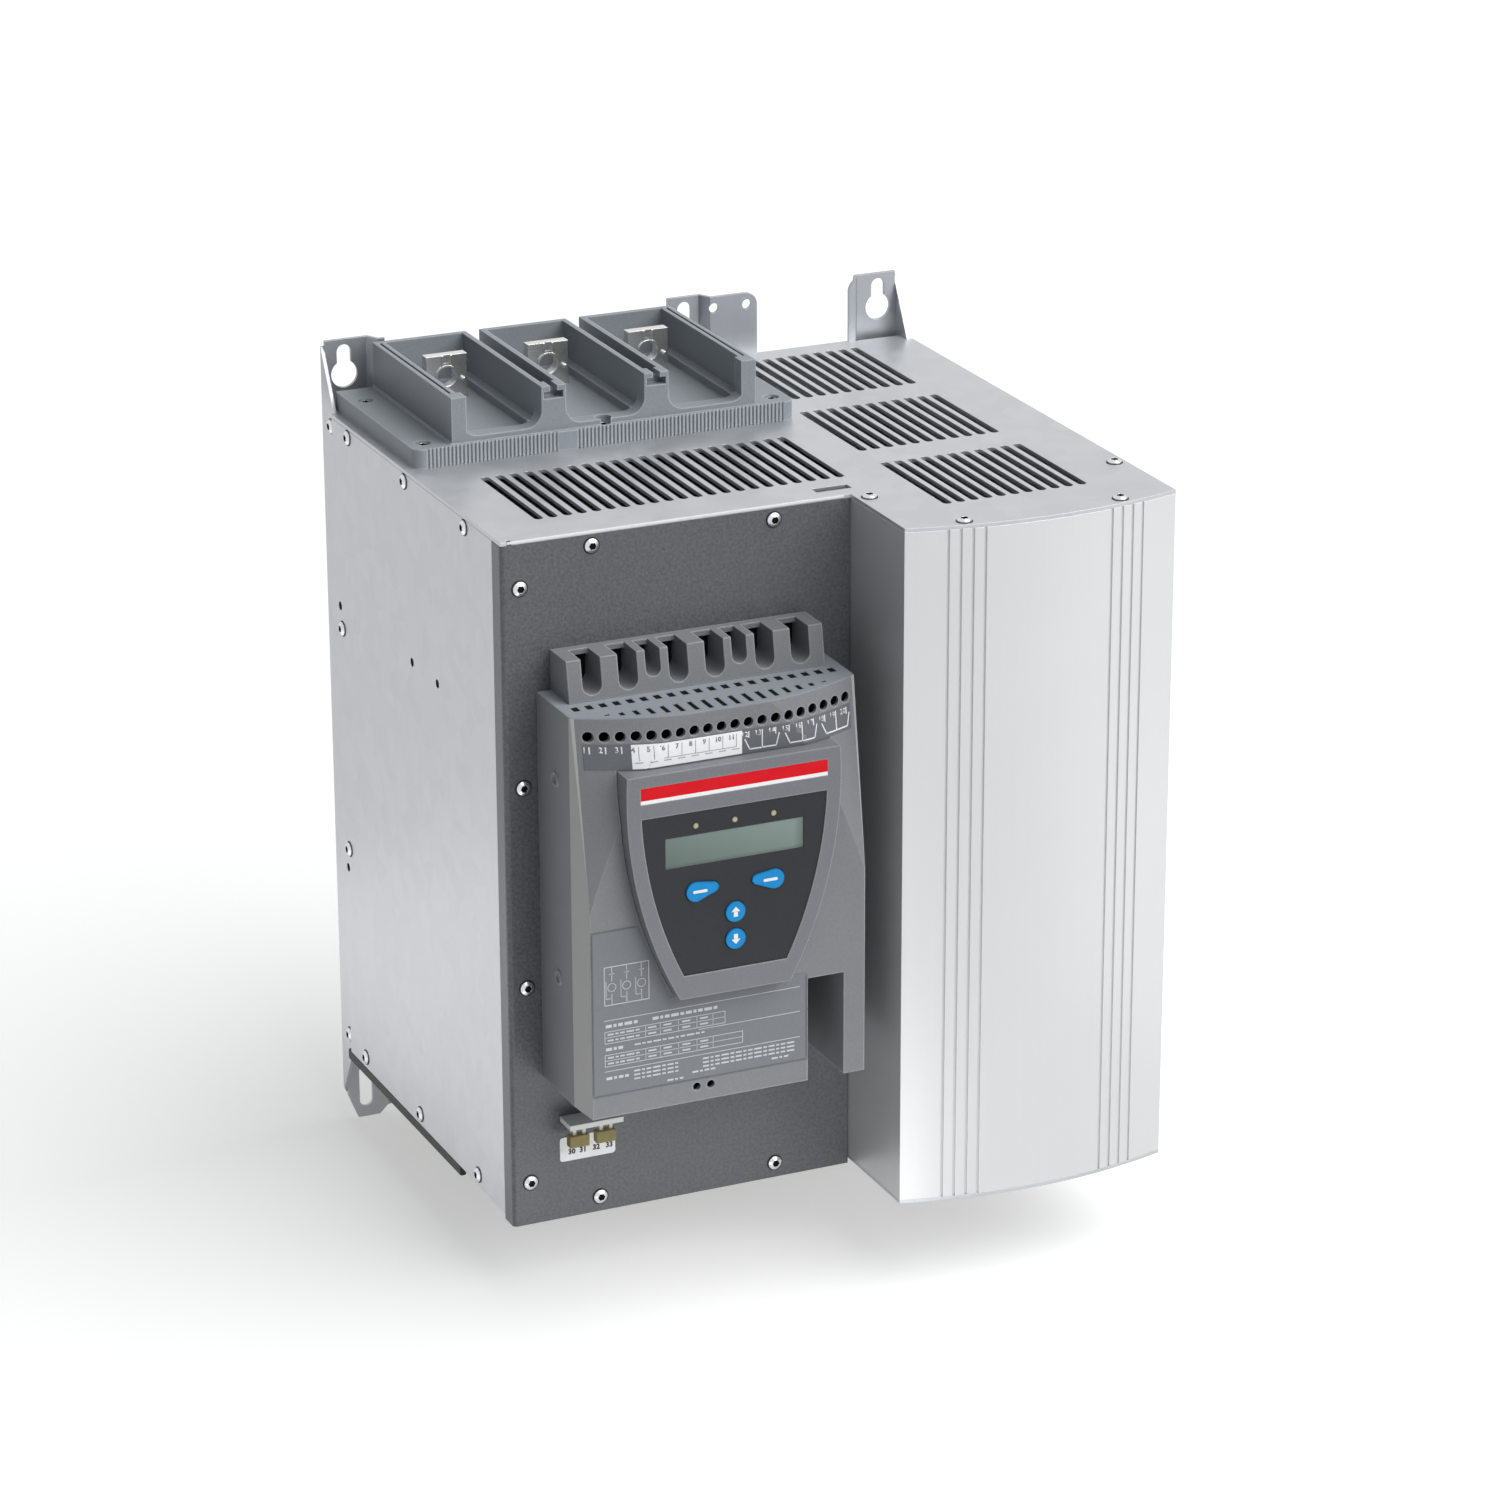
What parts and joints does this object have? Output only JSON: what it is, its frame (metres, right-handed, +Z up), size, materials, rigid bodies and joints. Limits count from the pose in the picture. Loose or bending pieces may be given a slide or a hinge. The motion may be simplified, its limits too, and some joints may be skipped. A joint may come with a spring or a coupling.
{
  "type": "soft starter",
  "caption": "Wall-hung motor soft starter: sheet-metal case with open terminal shrouds, bowed aluminium cover and a control unit with display, keys and a cable comb.",
  "frame": {"origin": "on the wall plane, midway between the circles of the two outer upper keyholes", "axes": "+X to the right seen from the front, +Y from the front back into the wall, +Z up"},
  "size_m": [0.3538, 0.3405, 0.4615],
  "materials": {
    "galvanised_sheet": "zinc-coated sheet",
    "dark_powder_coat": "fine textured powder coat",
    "extruded_aluminium": "anodised extrusion",
    "shroud_plastic": "moulded, fine grain",
    "tinned_copper": "tin-plated copper bar",
    "screw_steel": "zinc-plated",
    "housing_plastic": "moulded, fine grain",
    "bezel_plastic": "moulded, satin",
    "accent_red": "printed film",
    "keypad_black": "printed panel",
    "display_glass": "reflective display",
    "light_lens": "clear lens",
    "key_blue": "moulded key",
    "board_green": "circuit board",
    "white_plastic": "moulded",
    "plug_olive": "moulded",
    "sink_aluminium": "extruded, bare",
    "black_plastic": "moulded",
    "carrier_plastic": "moulded",
    "transformer_blue": "cast resin"
  },
  "bodies": {
    "starter": {"back_plate": "galvanised_sheet", "left_side_panel": "galvanised_sheet", "right_side_panel": "galvanised_sheet", "top_plate": "galvanised_sheet", "bottom_plate": "galvanised_sheet", "front_panel": "dark_powder_coat", "aluminium_cover": "extruded_aluminium", "line_shroud": "shroud_plastic", "load_shroud": "shroud_plastic", "line_busbar_1": "tinned_copper", "line_busbar_2": "tinned_copper", "line_busbar_3": "tinned_copper", "load_busbar_1": "tinned_copper", "load_busbar_2": "tinned_copper", "load_busbar_3": "tinned_copper", "busbar_branches": "tinned_copper", "side_screws": "screw_steel", "front_screws": "screw_steel", "plate_screws": "screw_steel", "shroud_screws": "screw_steel", "terminal_screws": "screw_steel", "board_spacers": "screw_steel", "control_housing": "housing_plastic", "cable_comb": "housing_plastic", "keypad_bezel": "bezel_plastic", "accent_strip": "accent_red", "keypad_panel": "keypad_black", "display_glass": "display_glass", "status_lights": "light_lens", "keypad_board": "board_green", "gate_board": "board_green", "pin_header": "white_plastic", "plug_1": "plug_olive", "plug_2": "plug_olive", "heat_sink_1": "sink_aluminium", "heat_sink_2": "sink_aluminium", "heat_sink_3": "sink_aluminium", "display_module": "black_plastic", "thyristor_1": "black_plastic", "thyristor_2": "black_plastic", "thyristor_3": "black_plastic", "fan_frame_1": "black_plastic", "fan_frame_2": "black_plastic", "fan_frame_3": "black_plastic", "contactor_body": "black_plastic", "board_parts": "black_plastic", "terminal_strip": "black_plastic", "current_transformer_1": "transformer_blue", "current_transformer_2": "transformer_blue", "current_transformer_3": "transformer_blue"},
    "left_key": {"left_key": "key_blue"},
    "right_key": {"right_key": "key_blue"},
    "up_key": {"up_key": "key_blue"},
    "down_key": {"down_key": "key_blue"},
    "rear_fan": {"fan_rotor_1": "black_plastic"},
    "middle_fan": {"fan_rotor_2": "black_plastic"},
    "front_fan": {"fan_rotor_3": "black_plastic"},
    "carrier": {"contact_carrier": "carrier_plastic"}
  },
  "joints": [
    {"name": "left_key_press", "type": "slide", "parent": "starter", "child": "left_key", "axis": [0, 1, 0], "range_m": [0, 0.0012], "stiffness_N_per_m": 900},
    {"name": "right_key_press", "type": "slide", "parent": "starter", "child": "right_key", "axis": [0, 1, 0], "range_m": [0, 0.0012], "stiffness_N_per_m": 900},
    {"name": "up_key_press", "type": "slide", "parent": "starter", "child": "up_key", "axis": [0, 1, 0], "range_m": [0, 0.0012], "stiffness_N_per_m": 900},
    {"name": "down_key_press", "type": "slide", "parent": "starter", "child": "down_key", "axis": [0, 1, 0], "range_m": [0, 0.0012], "stiffness_N_per_m": 900},
    {"name": "rear_fan_spin", "type": "hinge", "parent": "starter", "child": "rear_fan", "pos_m": [0.09725, -0.06, -0.3784], "axis": [0, 0, 1], "continuous": true},
    {"name": "middle_fan_spin", "type": "hinge", "parent": "starter", "child": "middle_fan", "pos_m": [0.09725, -0.161, -0.3784], "axis": [0, 0, 1], "continuous": true},
    {"name": "front_fan_spin", "type": "hinge", "parent": "starter", "child": "front_fan", "pos_m": [0.09725, -0.262, -0.3784], "axis": [0, 0, 1], "continuous": true},
    {"name": "carrier_pull", "type": "slide", "parent": "starter", "child": "carrier", "axis": [0, 1, 0], "range_m": [0, 0.007], "stiffness_N_per_m": 1200}
  ]
}
